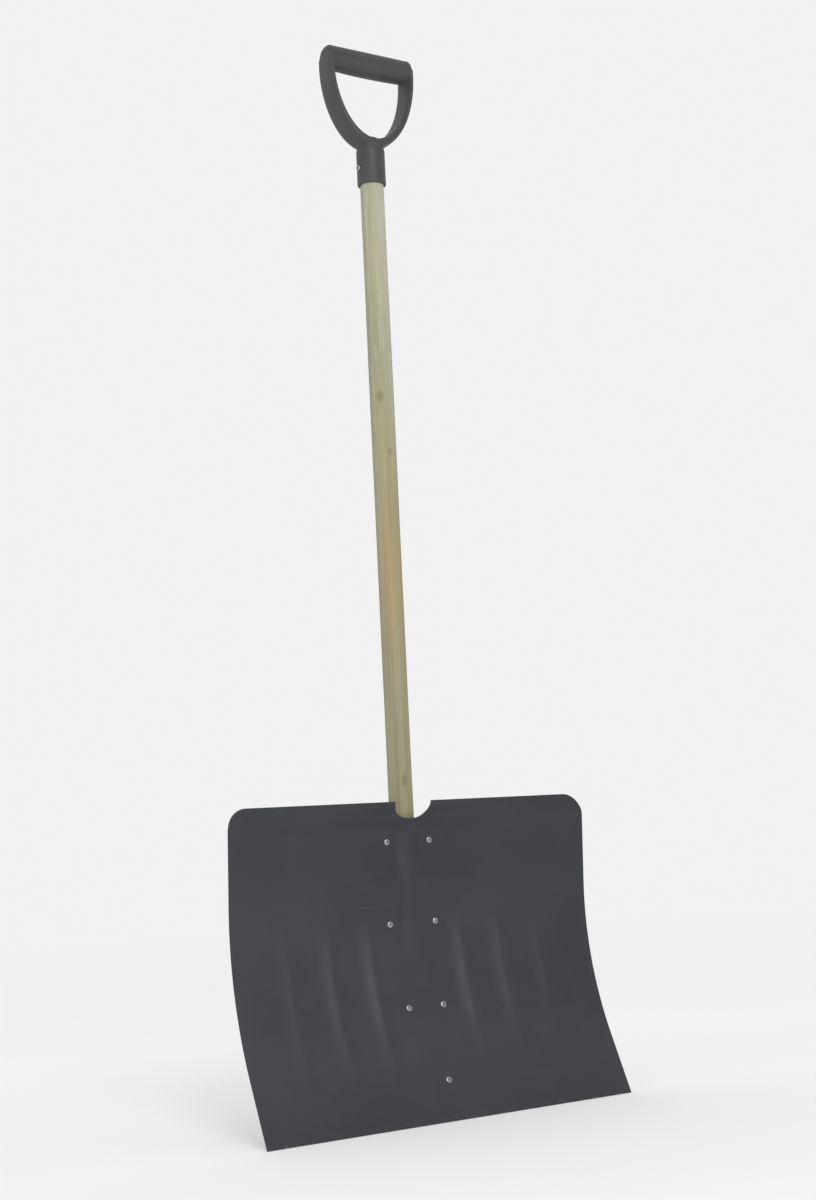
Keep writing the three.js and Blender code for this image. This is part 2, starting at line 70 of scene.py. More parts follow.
# ------------------------------------------------------------------ blade dimensions
GAP = 0.35 * MM  # between pieces that touch
BLADE_LENGTH = 376 * MM
BLADE_SHEET = 1.5 * MM
BLADE_EDGE_BEVEL = 0.4 * MM
BEND_START = 110 * MM
BEND_END = 300 * MM
UPPER_LEAN = math.radians(-3)
LOWER_LEAN = math.radians(25.5)
BLADE_FRONT_Y = AXIS_Y - 33 * MM
LIP_DEPTH = 21 * MM
LIP_LEAN = math.radians(14)
CORNER_RADIUS = 26 * MM
NOTCH_HALF_WIDTH = 25.3 * MM
NOTCH_DEPTH = 20.5 * MM
NOTCH_SQUARENESS = 2.3  # 2 would make the notch's outline an ellipse
BOW_DEPTH = 13.5 * MM
BOW_RISE_END = 42 * MM
BOW_FALL_START = 130 * MM
DISH_DEPTH = 6.2 * MM
DISH_HALF_WIDTH = 160 * MM
DISH_RISE_END = 17 * MM
DISH_FALL_START = 48 * MM
DISH_FALL_END = 100 * MM
SEAT_HEIGHT = 3.5 * MM
SEAT_SHARE_OF_DISH = 0.45
SEAT_HALF_WIDTH = 20 * MM
SEAT_START = 22 * MM
SEAT_FADE = 26 * MM
SEAT_END = 186 * MM
RIDGES = ((64 * MM, 5.4 * MM), (120 * MM, 4.6 * MM), (176 * MM, 2.8 * MM))  # place and height
RIDGE_HALF_WIDTH = 19 * MM
RIDGE_CREST = 0.17  # how far the crest is rounded, as a share of the half width
RIDGE_START = 124 * MM
RIDGE_END = 345 * MM
RIDGE_FADE_IN = 52 * MM
RIDGE_FADE_OUT = 145 * MM

# ------------------------------------------------------------------ bracket dimensions
BRACKET_SHEET = 1.5 * MM
BRACKET_TOP = 28 * MM
BRACKET_BOTTOM = 341 * MM
CHANNEL_RADIUS = SHAFT_RADIUS + 0.6 * MM
CHANNEL_TAPER_START = 216 * MM
CHANNEL_TAPER_END = 306 * MM
CHANNEL_END_HALF_WIDTH = 5 * MM
CHANNEL_DRAFT = 1.4 * MM
FLANGE_HALF_WIDTH = 42 * MM
FLANGE_TAPER_START = 165 * MM
FLANGE_TAPER_END = 318 * MM
TAIL_HALF_WIDTH = 13 * MM
TAIL_ROUND_START = 332 * MM
TAIL_ROUNDNESS = 0.8
BRACKET_EDGE_BEVEL = 0.35 * MM

# ------------------------------------------------------------------ rivets and screws
RIVETS = {
    "top_left": (-30 * MM, 48 * MM),
    "top_right": (30 * MM, 48 * MM),
    "upper_left": (-32 * MM, 143 * MM),
    "upper_right": (32 * MM, 143 * MM),
    "lower_left": (-24 * MM, 239 * MM),
    "lower_right": (24 * MM, 239 * MM),
    "tail": (0.0, 328 * MM),
}
RIVET_RADIUS = 2 * MM
RIVET_HEAD_RADIUS = 4.1 * MM
RIVET_HEAD_HEIGHT = 1.5 * MM
RIVET_BORE_RADIUS = 1.25 * MM
RIVET_BULB_RADIUS = 3 * MM
RIVET_BULB_LENGTH = 3.4 * MM
MANDREL_RADIUS = 1.0 * MM
SCREW_HEAD_RADIUS = 3.8 * MM
SCREW_HEAD_HEIGHT = 2.4 * MM
SCREW_RADIUS = 1.7 * MM
SCREW_LENGTH = 20 * MM
SCREW_PLAIN_TIP = 4 * MM
THREAD_START = 1.2 * MM
THREAD_PITCH = 1.3 * MM
THREAD_DEPTH = 0.32 * MM
RECESS_SIZE = (4.2 * MM, 0.9 * MM, 1.8 * MM)  # one bar of the cross in a screw's head

# ------------------------------------------------------------------ grip dimensions
SOCKET_RADIUS = 17.9 * MM
SOCKET_TOP_Z = RIM_Z + 62 * MM
BAR_Z = GRIP_TOP_Z - 16.8 * MM
BAR_RADIUS = 16.2 * MM
BAR_END_RADIUS = 15.4 * MM
BAR_FLATTENING = 0.9
YOKE_CENTRE_Z = BAR_Z - 7.5 * MM
YOKE_OUTER_DROP = 103 * MM
YOKE_INNER_HALF_WIDTH = 55 * MM
YOKE_INNER_DROP = 90 * MM
YOKE_DEPTH = 33.6 * MM
ARM_SQUARENESS = 2.8  # 2 would make the arms' section an ellipse
ARM_END_FACE_RADIUS = 7 * MM
ARM_TOP_FLATTENING = 0.955
GRIP_VOXEL = 0.9 * MM
BORE_OVERRUN = 10 * MM  # how far the cut for the shaft starts below the rim

# ------------------------------------------------------------------ how finely shapes are divided
MERGE_DISTANCE = 1e-6
BEVEL_SEGMENTS = 2
BEVEL_ANGLE = math.radians(50)
ROUNDING_STEPS = 3
NOTCH_COLUMNS = 25
FLAT_COLUMNS = 110
CORNER_COLUMNS = 16
NOTCH_ROWS = 24  # down to TRIMMED_END, where the outline's shape has died out
LOWER_ROWS = 117
TRIMMED_END = 46 * MM
FLANGE_COLUMNS = 9
CHANNEL_COLUMNS = 41
BRACKET_ROWS = 130
TAIL_ROWS = 12
RIVET_SEGMENTS = 32
MANDREL_SEGMENTS = 24
SCREW_SEGMENTS = 40
SCREW_CROWN_STEPS = 8
SHAFT_SEGMENTS = 96
SHAFT_ROWS = 180
CROSSBAR_SEGMENTS = 72
CROSSBAR_ROWS = 33
DOME_ROWS = 17
YOKE_STEPS = 96
YOKE_RING = 28
SOCKET_SEGMENTS = 80

# ------------------------------------------------------------------ camera
CAMERA_PLACE = Vector((-1.1732, -1.7998, 0.3550))
CAMERA_TURN = math.radians(33.08)  # it looks this far round from +Y towards +X
CAMERA_PITCH = math.radians(6.60)  # and this far above the horizon
CAMERA_ROLL = math.radians(-2.76)
CAMERA_LENS_MM = 53.96
CAMERA_CLIP = (0.05, 100)

# ------------------------------------------------------------------ light
WALL_WHITE = 0.884  # radiance of the wall behind the object and of the far floor
ROOM_WHITE = 0.21  # radiance of the room in front of it
WALL_AXIS = (0, 0.8, 0.6)  # the wall's white centres on this direction
WALL_FADE = (-0.35, 0.25)  # room to wall, by how far a direction runs along that axis
LOW_WALL_FADE = (0.05, 0.13)  # all round, white wall to room, by the direction's rise
FLOOR_LIFT = 0.265  # what the lit floor adds to its own white near the key light
FLOOR_LIFT_FAR = 0.36  # and away from it
FLOOR_LIFT_SPAN = (1.5, 2.7)  # between these distances from the key light's foot
FLOOR_FADE = (0.9, 3.4)  # the floor turns into the wall's white at these distances from the object
FLOOR_HALF_SIZE = 200.0
KEY_POWER = 22.0
KEY_SIZE = 1.0
KEY_TURN = math.radians(19)  # towards -X from straight in front
KEY_HEIGHT_ANGLE = math.radians(26)
KEY_DISTANCE = 2.2
KEY_TARGET = Vector((0, 0, 0.5))
KEY_AWAY = Vector((
    -math.sin(KEY_TURN) * math.cos(KEY_HEIGHT_ANGLE),
    -math.cos(KEY_TURN) * math.cos(KEY_HEIGHT_ANGLE),
    math.sin(KEY_HEIGHT_ANGLE),
))  # from the object towards the key light

# ------------------------------------------------------------------ colours, as linear light
BLADE_PAINT = (0.0336, 0.0357, 0.0413)
BLADE_WORN = (0.14, 0.14, 0.14)
BRACKET_PAINT = (0.0322, 0.0336, 0.0379)
BRACKET_WORN = (0.13, 0.13, 0.13)
# pale dust, also painting light onto the lower blade
SNOW_DUST_AND_LIGHT = (0.150, 0.152, 0.160)
LATE_WOOD = (0.270, 0.225, 0.110)
DARK_FIBRE = (0.235, 0.200, 0.125)
# painted highlight on the upper shaft's right side
LIT_SIDE_WOOD = (0.505, 0.505, 0.435)
WOOD_FLECK = (0.560, 0.560, 0.490)
KNOT_BROWN = (0.155, 0.110, 0.050)
PLASTIC_DARK = (0.0435, 0.0450, 0.0445)
PLASTIC_LIGHT = (0.0580, 0.0598, 0.0588)
PLASTIC_DUST = (0.16, 0.16, 0.155)
FLOOR_GREYS = ((0.595, 0.597, 0.600), (0.605, 0.607, 0.609))
WHITE = (1, 1, 1, 1)


# ------------------------------------------------------------------ mesh helpers
def smoothstep(value, low, high):
    share = np.clip((value - low) / (high - low), 0, 1)
    return share * share * (3 - 2 * share)


def bump(offset, half_width):
    """A smooth hump of height 1 that reaches half_width to each side."""
    return 0.5 * (1 + np.cos(np.pi * np.clip(offset / half_width, -1, 1)))


def new_object(name, vertices, faces, material=None):
    mesh = bpy.data.meshes.new(name)
    mesh.from_pydata([tuple(v) for v in vertices], [], faces)
    mesh.validate()
    mesh.update()
    obj = bpy.data.objects.new(name, mesh)
    bpy.context.scene.collection.objects.link(obj)
    if material is not None:
        mesh.materials.append(material)
    return obj


def face_outwards(obj):
    """Merges doubled corners and turns every face outwards."""
    work = bmesh.new()
    work.from_mesh(obj.data)
    bmesh.ops.remove_doubles(work, verts=work.verts, dist=MERGE_DISTANCE)
    bmesh.ops.recalc_face_normals(work, faces=work.faces)
    work.to_mesh(obj.data)
    work.free()


def smooth(obj, sharp_degrees):
    """Shades smoothly, with edges kept sharp where they turn by more than an angle."""
    obj.data.shade_smooth()
    obj.data.set_sharp_from_angle(angle=math.radians(sharp_degrees))


def bevel(obj, width):
    modifier = obj.modifiers.new("edges", "BEVEL")
    modifier.width = width
    modifier.segments = BEVEL_SEGMENTS
    modifier.limit_method = "ANGLE"
    modifier.angle_limit = BEVEL_ANGLE
    apply_modifiers(obj)


def apply_modifiers(obj):
    """Bakes the modifiers into the mesh."""
    graph = bpy.context.evaluated_depsgraph_get()
    baked = bpy.data.meshes.new_from_object(obj.evaluated_get(graph))
    materials = list(obj.data.materials)
    obj.modifiers.clear()
    obj.data = baked
    obj.data.materials.clear()
    for material in materials:
        obj.data.materials.append(material)


def boolean(obj, other, operation):
    """Joins another object to obj, or cuts it away, and removes the other object."""
    modifier = obj.modifiers.new(operation, "BOOLEAN")
    modifier.operation = operation
    modifier.solver = "EXACT"
    modifier.object = other
    apply_modifiers(obj)
    bpy.data.objects.remove(other)


def closed_sheet(name, front, back, material):
    """A sheet between two grids of points, each an array of rows x columns x 3."""
    rows, columns = front.shape[:2]
    front_at = np.arange(rows * columns).reshape(rows, columns)
    back_at = front_at + rows * columns

    def quads(a, b, c, d):
        return np.stack([a.ravel(), b.ravel(), c.ravel(), d.ravel()], 1)

    groups = []
    for grid, flipped in ((front_at, False), (back_at, True)):
        loop = (grid[:-1, :-1], grid[1:, :-1], grid[1:, 1:], grid[:-1, 1:])
        groups.append(quads(*(loop[::-1] if flipped else loop)))
    for edge_front, edge_back in (
        (front_at[0], back_at[0]),
        (front_at[:, -1], back_at[:, -1]),
        (front_at[-1, ::-1], back_at[-1, ::-1]),
        (front_at[::-1, 0], back_at[::-1, 0]),
    ):
        groups.append(quads(edge_front[:-1], edge_front[1:], edge_back[1:], edge_back[:-1]))
    vertices = np.concatenate([front.reshape(-1, 3), back.reshape(-1, 3)])
    obj = new_object(name, vertices, np.concatenate(groups).tolist(), material)
    face_outwards(obj)
    return obj


def turned(name, pairs, segments, material=None):
    """Turns (radius, height) pairs about Z. A radius of 0 closes the shape on the axis.

    Pairs that end where they began make a ring with a hole through it.
    """
    vertices = []
    rings = []
    for radius, height in pairs:
        if radius < 1e-9:
            rings.append([len(vertices)] * segments)
            vertices.append((0, 0, height))
            continue
        rings.append([len(vertices) + i for i in range(segments)])
        for i in range(segments):
            angle = 2 * math.pi * i / segments
            vertices.append((radius * math.cos(angle), radius * math.sin(angle), height))
    faces = []
    closed = pairs[0] == pairs[-1]
    for low, high in zip(rings[:-1], rings[1:-1] + [rings[0]] if closed else rings[1:]):
        for i in range(segments):
            j = (i + 1) % segments
            loop = []
            for corner in (low[i], low[j], high[j], high[i]):
                if corner not in loop:
                    loop.append(corner)
            if len(loop) > 2:
                faces.append(loop)
    obj = new_object(name, vertices, faces, material)
    face_outwards(obj)
    return obj


def rounded(corners, radius):
    """Rounds the inner corners of a list of (radius, height) pairs."""
    points = [corners[0]]
    for before, corner, after in zip(corners, corners[1:], corners[2:]):
        here = Vector(corner)
        towards = [(Vector(p) - here) for p in (before, after)]
        reach = min(radius, *(0.45 * t.length for t in towards))
        start, end = (here + t.normalized() * reach for t in towards)
        for i in range(ROUNDING_STEPS + 1):
            s = i / ROUNDING_STEPS
            points.append(tuple(start * (1 - s) ** 2 + here * 2 * s * (1 - s) + end * s * s))
    points.append(corners[-1])
    return points


def aim(obj, point, direction):
    """Moves a shape made along +Z so that it starts at a point and runs along a direction."""
    turn = Vector((0, 0, 1)).rotation_difference(direction).to_matrix().to_4x4()
    obj.data.transform(Matrix.Translation(point) @ turn)


def finish_piece(obj, node):
    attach(obj, "root")
    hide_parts(node)


# ------------------------------------------------------------------ material helpers
class Nodes:
    """A short way to write a material's node tree."""

    def __init__(self, name):
        self.material = bpy.data.materials.new(name)
        self.material.use_nodes = True
        self.tree = self.material.node_tree
        self.shader = self.tree.nodes["Principled BSDF"]
        coordinates = self.tree.nodes.new("ShaderNodeTexCoord")
        self.place = coordinates.outputs["Object"]

    def add(self, kind, inputs=None, **settings):
        node = self.tree.nodes.new(kind)
        for key, value in settings.items():
            setattr(node, key, value)
        for key, value in (inputs or {}).items():
            self.set(node.inputs[key], value)
        return node

    def set(self, socket, value):
        if isinstance(value, bpy.types.NodeSocket):
            self.tree.links.new(value, socket)
        else:
            socket.default_value = value

    def math(self, operation, a, b=0.0, clamp=False):
        node = self.add("ShaderNodeMath", {0: a, 1: b}, operation=operation, use_clamp=clamp)
        return node.outputs[0]

    def stretched(self, scale, offset=(0, 0, 0)):
        node = self.add("ShaderNodeMapping", {"Vector": self.place, "Location": offset, "Scale": scale})
        return node.outputs[0]

    def noise(self, scale, detail, roughness, vector=None, distortion=0.0):
        inputs = {"Vector": vector or self.place, "Scale": scale, "Detail": detail}
        inputs.update({"Roughness": roughness, "Distortion": distortion})
        return self.add("ShaderNodeTexNoise", inputs).outputs[0]

    def remap(self, value, low, high, to_low=0.0, to_high=1.0):
        inputs = {0: value, 1: low, 2: high, 3: to_low, 4: to_high}
        return self.add("ShaderNodeMapRange", inputs, clamp=True).outputs[0]

    def ramp(self, value, stops):
        node = self.add("ShaderNodeValToRGB", {0: value})
        elements = node.color_ramp.elements
        while len(elements) < len(stops):
            elements.new(0.5)
        for element, (position, colour) in zip(elements, stops):
            element.position = position
            element.color = (*colour, 1)
        return node.outputs[0]

    def mix(self, share, a, b, blend="MIX"):
        node = self.add("ShaderNodeMix", data_type="RGBA", blend_type=blend)
        self.set(node.inputs["Factor"], share)
        for key, value in ((6, a), (7, b)):  # the colour sockets, which share their names with others
            self.set(node.inputs[key], value if isinstance(value, bpy.types.NodeSocket) else (*value, 1))
        return node.outputs[2]

    def bump(self, height, distance, strength, below=None):
        inputs = {"Height": height, "Distance": distance, "Strength": strength}
        node = self.add("ShaderNodeBump", inputs)
        if below is not None:
            self.set(node.inputs["Normal"], below)
        return node.outputs[0]

    def finish(self, **inputs):
        for key, value in inputs.items():
            socket = self.shader.inputs[key.replace("_", " ")]
            if isinstance(value, tuple):
                value = (*value, 1)
            self.set(socket, value)
        return self.material


def axis(n, name):
    return n.add("ShaderNodeSeparateXYZ", {0: n.place}).outputs[name]


# ------------------------------------------------------------------ materials
def paint(name, base, worn, dusty_and_lit=False):
    """Semi-matt charcoal powder coat with fine orange peel and rubbed edges; the last argument adds pale
    dust in the hollow with painted light, strongest towards the left.
    """
    n = Nodes(name)
    broad = n.noise(5.5, 3, 0.55)
    cloud = n.noise(38, 4, 0.6)
    speck = n.noise(1500, 2, 0.5)
    tone = n.math("ADD", n.math("MULTIPLY", broad, 0.7), n.math("MULTIPLY", cloud, 0.3))
    dark = tuple(0.86 * c for c in base)
    light = tuple(1.16 * c for c in base)
    colour = n.ramp(tone, [(0.32, dark), (0.68, light)])
    fleck = n.remap(speck, 0.62, 0.78)
    colour = n.mix(n.math("MULTIPLY", fleck, 0.16), colour, tuple(2.6 * c for c in base))
    scuff = n.noise(1, 5, 0.6, n.stretched((9, 9, 150)), 0.6)
    scuff = n.remap(scuff, 0.63, 0.74)
    colour = n.mix(n.math("MULTIPLY", scuff, 0.14), colour, worn)
    pointed = n.add("ShaderNodeNewGeometry").outputs["Pointiness"]
    rubbed = n.math("MULTIPLY", n.remap(pointed, 0.53, 0.60), n.remap(cloud, 0.38, 0.60), True)
    colour = n.mix(n.math("MULTIPLY", rubbed, 0.45), colour, worn)
    if dusty_and_lit:
        x, z = axis(n, "X"), axis(n, "Z")
        # Pale dust in the hollow, with painted light: the pale wash is strongest towards the left.
        hollow = n.math("MULTIPLY", n.remap(z, 0.31, 0.20), n.remap(z, 0.01, 0.07))
        dust = n.math("MULTIPLY", hollow, n.remap(x, -0.24, 0.24, 0.085, 0.030))
        dust = n.math("MULTIPLY", dust, n.remap(broad, 0.35, 0.65, 0.75, 1.25))
        colour = n.mix(dust, colour, SNOW_DUST_AND_LIGHT)
        nicks = n.math("MULTIPLY", n.remap(z, 7 * MM, 1 * MM), n.remap(n.noise(230, 4, 0.7), 0.54, 0.68))
        colour = n.mix(n.math("MULTIPLY", nicks, 0.5), colour, worn)
    rough = n.remap(cloud, 0.3, 0.7, 0.50, 0.60)
    rough = n.math("ADD", rough, n.math("MULTIPLY", scuff, 0.12), True)
    peel = n.bump(n.noise(620, 2, 0.5), 0.12 * MM, 0.5)
    normal = n.bump(n.noise(30, 2, 0.5), 0.6 * MM, 0.25, peel)
    return n.finish(Base_Color=colour, Roughness=rough, Normal=normal, Specular_IOR_Level=0.42)


# Stains along the shaft, and one band of painted shade on its upper left edge, placed across it as it
# looks from
# its front left: place across, lower and upper end, half width, strength and colour.
STAIN_FADE = 0.05
STAINS = (
    (-1.5 * MM, 0.545, 0.735, 7 * MM, 0.50, (0.440, 0.290, 0.145)),
    (-3.5 * MM, 1.020, 1.160, 4 * MM, 0.45, (0.340, 0.340, 0.150)),
    (0.0, 0.985, 1.065, 12 * MM, 0.22, (0.440, 0.340, 0.240)),
    (0.0, 0.490, 0.570, 12 * MM, 0.28, (0.300, 0.295, 0.150)),
    (-10 * MM, 0.450, 0.660, 8 * MM, 0.45, (0.330, 0.245, 0.140)),
    # painted shade: the upper shaft's left edge darker and greyer
    (-10 * MM, 0.880, 1.180, 9 * MM, 0.35, (0.330, 0.315, 0.250)),
    (0.0, 0.835, 0.925, 12 * MM, 0.25, (0.320, 0.350, 0.200)),
)
KNOTS = (  # place across the front, height and size
    (-2.5 * MM, 0.389, 2.6 * MM),
    (-9.4 * MM, 0.859, 2.4 * MM),
    (-1.1 * MM, 0.790, 1.7 * MM),
)


def shaft_wood():
    """Unvarnished pine: growth rings cut lengthwise, fibres, pores and a few small knots, with painted
    light: lighter towards the top, a painted highlight on the upper right side and painted shade on the
    upper left edge.
    """
    n = Nodes("pine")
    x, y, z = (axis(n, name) for name in "XYZ")
    wander = n.noise(1, 3, 0.5, n.stretched((22, 22, 2.2)))
    sway = n.math("MULTIPLY", n.math("SUBTRACT", wander, 0.5), 9 * MM)
    heart_x = n.math("ADD", n.math("ADD", x, 31 * MM), sway)
    heart_y = n.math("ADD", n.math("SUBTRACT", y, AXIS_Y + 22 * MM), n.math("MULTIPLY", z, 0.012))
    across = n.math("POWER", heart_x, 2.0)
    depth = n.math("POWER", heart_y, 2.0)
    ring = n.math("SQRT", n.math("ADD", across, depth))
    cycle = n.math("FRACT", n.math("DIVIDE", ring, 2.9 * MM))
    late = n.math("POWER", cycle, 2.6)
    fibre = n.noise(1, 4, 0.62, n.stretched((900, 900, 9)))
    streak = n.noise(1, 3, 0.55, n.stretched((150, 150, 2.6), (0.3, 0.1, 0)))
    broad = n.noise(1, 2, 0.5, n.stretched((34, 34, 3.1), (1.3, 0.7, 0.2)))
    warm = n.ramp(streak, [
        (0.30, (0.345, 0.325, 0.190)),
        (0.50, (0.430, 0.400, 0.255)),
        (0.70, (0.500, 0.475, 0.325)),
    ])
    grey = n.ramp(streak, [(0.30, (0.335, 0.345, 0.270)), (0.70, (0.450, 0.460, 0.385))])
    colour = n.mix(n.remap(broad, 0.40, 0.60), warm, grey)
    colour = n.mix(n.math("MULTIPLY", late, 0.36), colour, LATE_WOOD)
    colour = n.mix(n.math("MULTIPLY", n.remap(fibre, 0.50, 0.72), 0.22), colour, DARK_FIBRE)
    # Colour along the shaft with painted light: tinted along its height and lighter towards the top.
    height = n.remap(n.math("ADD", z, n.math("MULTIPLY", sway, 4.0)), 0.36, 1.14)
    tint_and_light = n.ramp(height, [
        (0.00, (0.73, 0.72, 0.67)),
        (0.22, (0.77, 0.75, 0.71)),
        (0.34, (0.86, 0.77, 0.67)),
        (0.44, (0.88, 0.81, 0.74)),
        (0.60, (0.86, 0.86, 0.81)),
        (0.74, (0.82, 0.86, 0.88)),
        (0.88, (0.95, 0.95, 0.88)),
        (1.00, (1.00, 1.00, 0.97)),
    ])
    colour = n.mix(1.0, colour, tint_and_light, "MULTIPLY")
    forward = n.math("SUBTRACT", y, AXIS_Y)
    side = n.math("SUBTRACT", n.math("MULTIPLY", x, 0.84), n.math("MULTIPLY", forward, 0.54))
    # Painted highlight: the upper shaft's right side turns pale where the light falls.
    painted_lit_side = n.math("MULTIPLY", n.remap(side, 1 * MM, 12 * MM), n.remap(z, 0.72, 1.05, 0.0, 0.55))
    colour = n.mix(painted_lit_side, colour, LIT_SIDE_WOOD)
    for place, low, high, width, share, shade in STAINS:
        along = n.math("MULTIPLY", n.remap(z, low, low + STAIN_FADE), n.remap(z, high, high - STAIN_FADE))
        wavy = n.math("ADD", side, n.math("MULTIPLY", sway, 0.6))
        off = n.math("ABSOLUTE", n.math("SUBTRACT", wavy, place))
        stain = n.math("MULTIPLY", n.remap(off, width, 0.2 * width), along)
        stain = n.math("MULTIPLY", stain, n.remap(streak, 0.30, 0.62, share, 0.6 * share))
        colour = n.mix(stain, colour, shade)
    flecks = n.noise(1, 3, 0.6, n.stretched((330, 330, 26), (0.5, 0.2, 0.9)))
    flecks = n.math("MULTIPLY", n.remap(flecks, 0.52, 0.68), n.remap(z, 0.84, 0.92))
    colour = n.mix(n.math("MULTIPLY", flecks, 0.30), colour, WOOD_FLECK)
    for knot_x, knot_z, size in KNOTS:
        dx = n.math("DIVIDE", n.math("SUBTRACT", x, knot_x), size)
        dz = n.math("DIVIDE", n.math("SUBTRACT", z, knot_z), 2.1 * size)
        square = n.math("ADD", n.math("POWER", dx, 2.0), n.math("POWER", dz, 2.0))
        front = n.remap(y, AXIS_Y - 3 * MM, AXIS_Y, 1.0, 0.0)
        spot = n.math("MULTIPLY", n.remap(square, 0.35, 3.4, 1.0, 0.0), front)
        colour = n.mix(n.math("MULTIPLY", spot, 0.45), colour, KNOT_BROWN)
    rough = n.remap(fibre, 0.3, 0.7, 0.58, 0.74)
    grain = n.bump(fibre, 0.10 * MM, 0.6)
    normal = n.bump(late, 0.08 * MM, 0.5, grain)
    return n.finish(Base_Color=colour, Roughness=rough, Normal=normal, Specular_IOR_Level=0.3)


def grip_plastic():
    """Dark grey moulded plastic with a fine spark-eroded texture and handling shine."""
    n = Nodes("moulded_plastic")
    cloud = n.noise(26, 4, 0.55)
    grain = n.noise(1900, 2, 0.6)
    colour = n.ramp(cloud, [(0.32, PLASTIC_DARK), (0.68, PLASTIC_LIGHT)])
    dust = n.math("MULTIPLY", n.remap(n.noise(300, 5, 0.7), 0.56, 0.72), 0.10)
    colour = n.mix(dust, colour, PLASTIC_DUST)
    rough = n.remap(cloud, 0.3, 0.7, 0.50, 0.60)
    texture = n.bump(grain, 0.07 * MM, 0.55)
    normal = n.bump(n.noise(60, 2, 0.5), 0.25 * MM, 0.2, texture)
    return n.finish(Base_Color=colour, Roughness=rough, Normal=normal, Specular_IOR_Level=0.45)


def metal(name, light, dark, rough_low, rough_high, scale):
    """Bare metal with small stains and rubbed spots."""
    n = Nodes(name)
    stain = n.noise(scale, 4, 0.6)
    fine = n.noise(6 * scale, 2, 0.5)
    colour = n.ramp(stain, [(0.30, dark), (0.62, light)])
    rough = n.remap(stain, 0.3, 0.7, rough_high, rough_low)
    normal = n.bump(fine, 0.05 * MM, 0.4)
    return n.finish(Base_Color=colour, Roughness=rough, Normal=normal, Metallic=1.0)


def distance(n, x, y, centre=(0.0, 0.0)):
    """How far a point of the floor lies from a centre."""
    across = n.math("POWER", n.math("SUBTRACT", x, centre[0]), 2.0)
    along = n.math("POWER", n.math("SUBTRACT", y, centre[1]), 2.0)
    return n.math("SQRT", n.math("ADD", across, along))


def stage_floor():
    """A pale, evenly lit floor that fades into the studio's white far from the object."""
    n = Nodes("floor")
    x, y = (axis(n, name) for name in "XY")
    mottled = n.noise(3, 3, 0.5)
    grey = n.ramp(mottled, list(zip((0.3, 0.7), FLOOR_GREYS)))
    n.finish(Base_Color=grey, Roughness=0.9, Specular_IOR_Level=0.1)
    from_key = distance(n, x, y, (KEY_AWAY.x * KEY_DISTANCE, KEY_AWAY.y * KEY_DISTANCE))
    strength = n.remap(from_key, *FLOOR_LIFT_SPAN, FLOOR_LIFT, FLOOR_LIFT_FAR)
    lift = n.add("ShaderNodeEmission", {"Color": WHITE, "Strength": strength})
    near = n.add("ShaderNodeAddShader", {0: n.shader.outputs[0], 1: lift.outputs[0]})
    glow = n.add("ShaderNodeEmission", {"Color": WHITE, "Strength": WALL_WHITE})
    share = n.remap(distance(n, x, y), *FLOOR_FADE)
    blend = n.add("ShaderNodeMixShader", {0: share, 1: near.outputs[0], 2: glow.outputs[0]})
    output = n.tree.nodes["Material Output"]
    n.tree.links.new(blend.outputs[0], output.inputs["Surface"])
    return n.material


# ------------------------------------------------------------------ the blade's surface
BEND_RADIUS = (BEND_END - BEND_START) / (LOWER_LEAN - UPPER_LEAN)


def profile(down):
    """Side profile of the front face: straight, a round bend, straight."""
    upper = np.minimum(down, BEND_START)
    bent = np.clip(down - BEND_START, 0, BEND_END - BEND_START)
    lower = np.maximum(down - BEND_END, 0)
    lean = UPPER_LEAN + bent / BEND_RADIUS
    y = BLADE_FRONT_Y - upper * math.sin(UPPER_LEAN) - lower * math.sin(LOWER_LEAN)
    y = y + BEND_RADIUS * (np.cos(lean) - math.cos(UPPER_LEAN))
    z = BLADE_TOP_Z - upper * math.cos(UPPER_LEAN) - lower * math.cos(LOWER_LEAN)
    z = z - BEND_RADIUS * (np.sin(lean) - math.sin(UPPER_LEAN))
    return y, z, lean


def ridge(offset):
    """Cross-section of a ridge of height 1: hollow flanks that meet in a rounded crest."""
    share = np.minimum(np.abs(offset) / RIDGE_HALF_WIDTH, 1)
    fall = np.hypot(share, RIDGE_CREST) - RIDGE_CREST
    foot = math.hypot(1, RIDGE_CREST) - RIDGE_CREST
    return (1 - fall / foot) ** 2


def pressing(x, down):
    """How far the pressed sheet stands behind its plain side profile."""
    lip = np.maximum(LIP_DEPTH - down, 0) * math.tan(LIP_LEAN)
    fall = np.clip((down - BOW_FALL_START) / (BLADE_LENGTH - BOW_FALL_START), 0, 1)
    bow_along = smoothstep(down, 0, BOW_RISE_END) * 0.5 * (1 + np.cos(np.pi * fall))
    bow = BOW_DEPTH * bow_along * (1 - (2 * x / BLADE_WIDTH) ** 2)
    seat_along = smoothstep(down, SEAT_START, SEAT_START + SEAT_FADE)
    seat_along = seat_along * (1 - smoothstep(down, SEAT_END - 1.5 * SEAT_FADE, SEAT_END))
    dish = DISH_DEPTH * smoothstep(down, 0, DISH_RISE_END)
    dish = dish * (1 - smoothstep(down, DISH_FALL_START, DISH_FALL_END))
    seat = (SEAT_HEIGHT * seat_along + SEAT_SHARE_OF_DISH * dish) * bump(x, SEAT_HALF_WIDTH)
    ridge_along = smoothstep(down, RIDGE_START, RIDGE_START + RIDGE_FADE_IN)
    ridge_along = ridge_along * (1 - smoothstep(down, RIDGE_END - RIDGE_FADE_OUT, RIDGE_END))
    ridges = sum(height * ridge(np.abs(x) - centre) for centre, height in RIDGES)
    return lip + bow + dish * bump(x, DISH_HALF_WIDTH) - seat - ridge_along * ridges


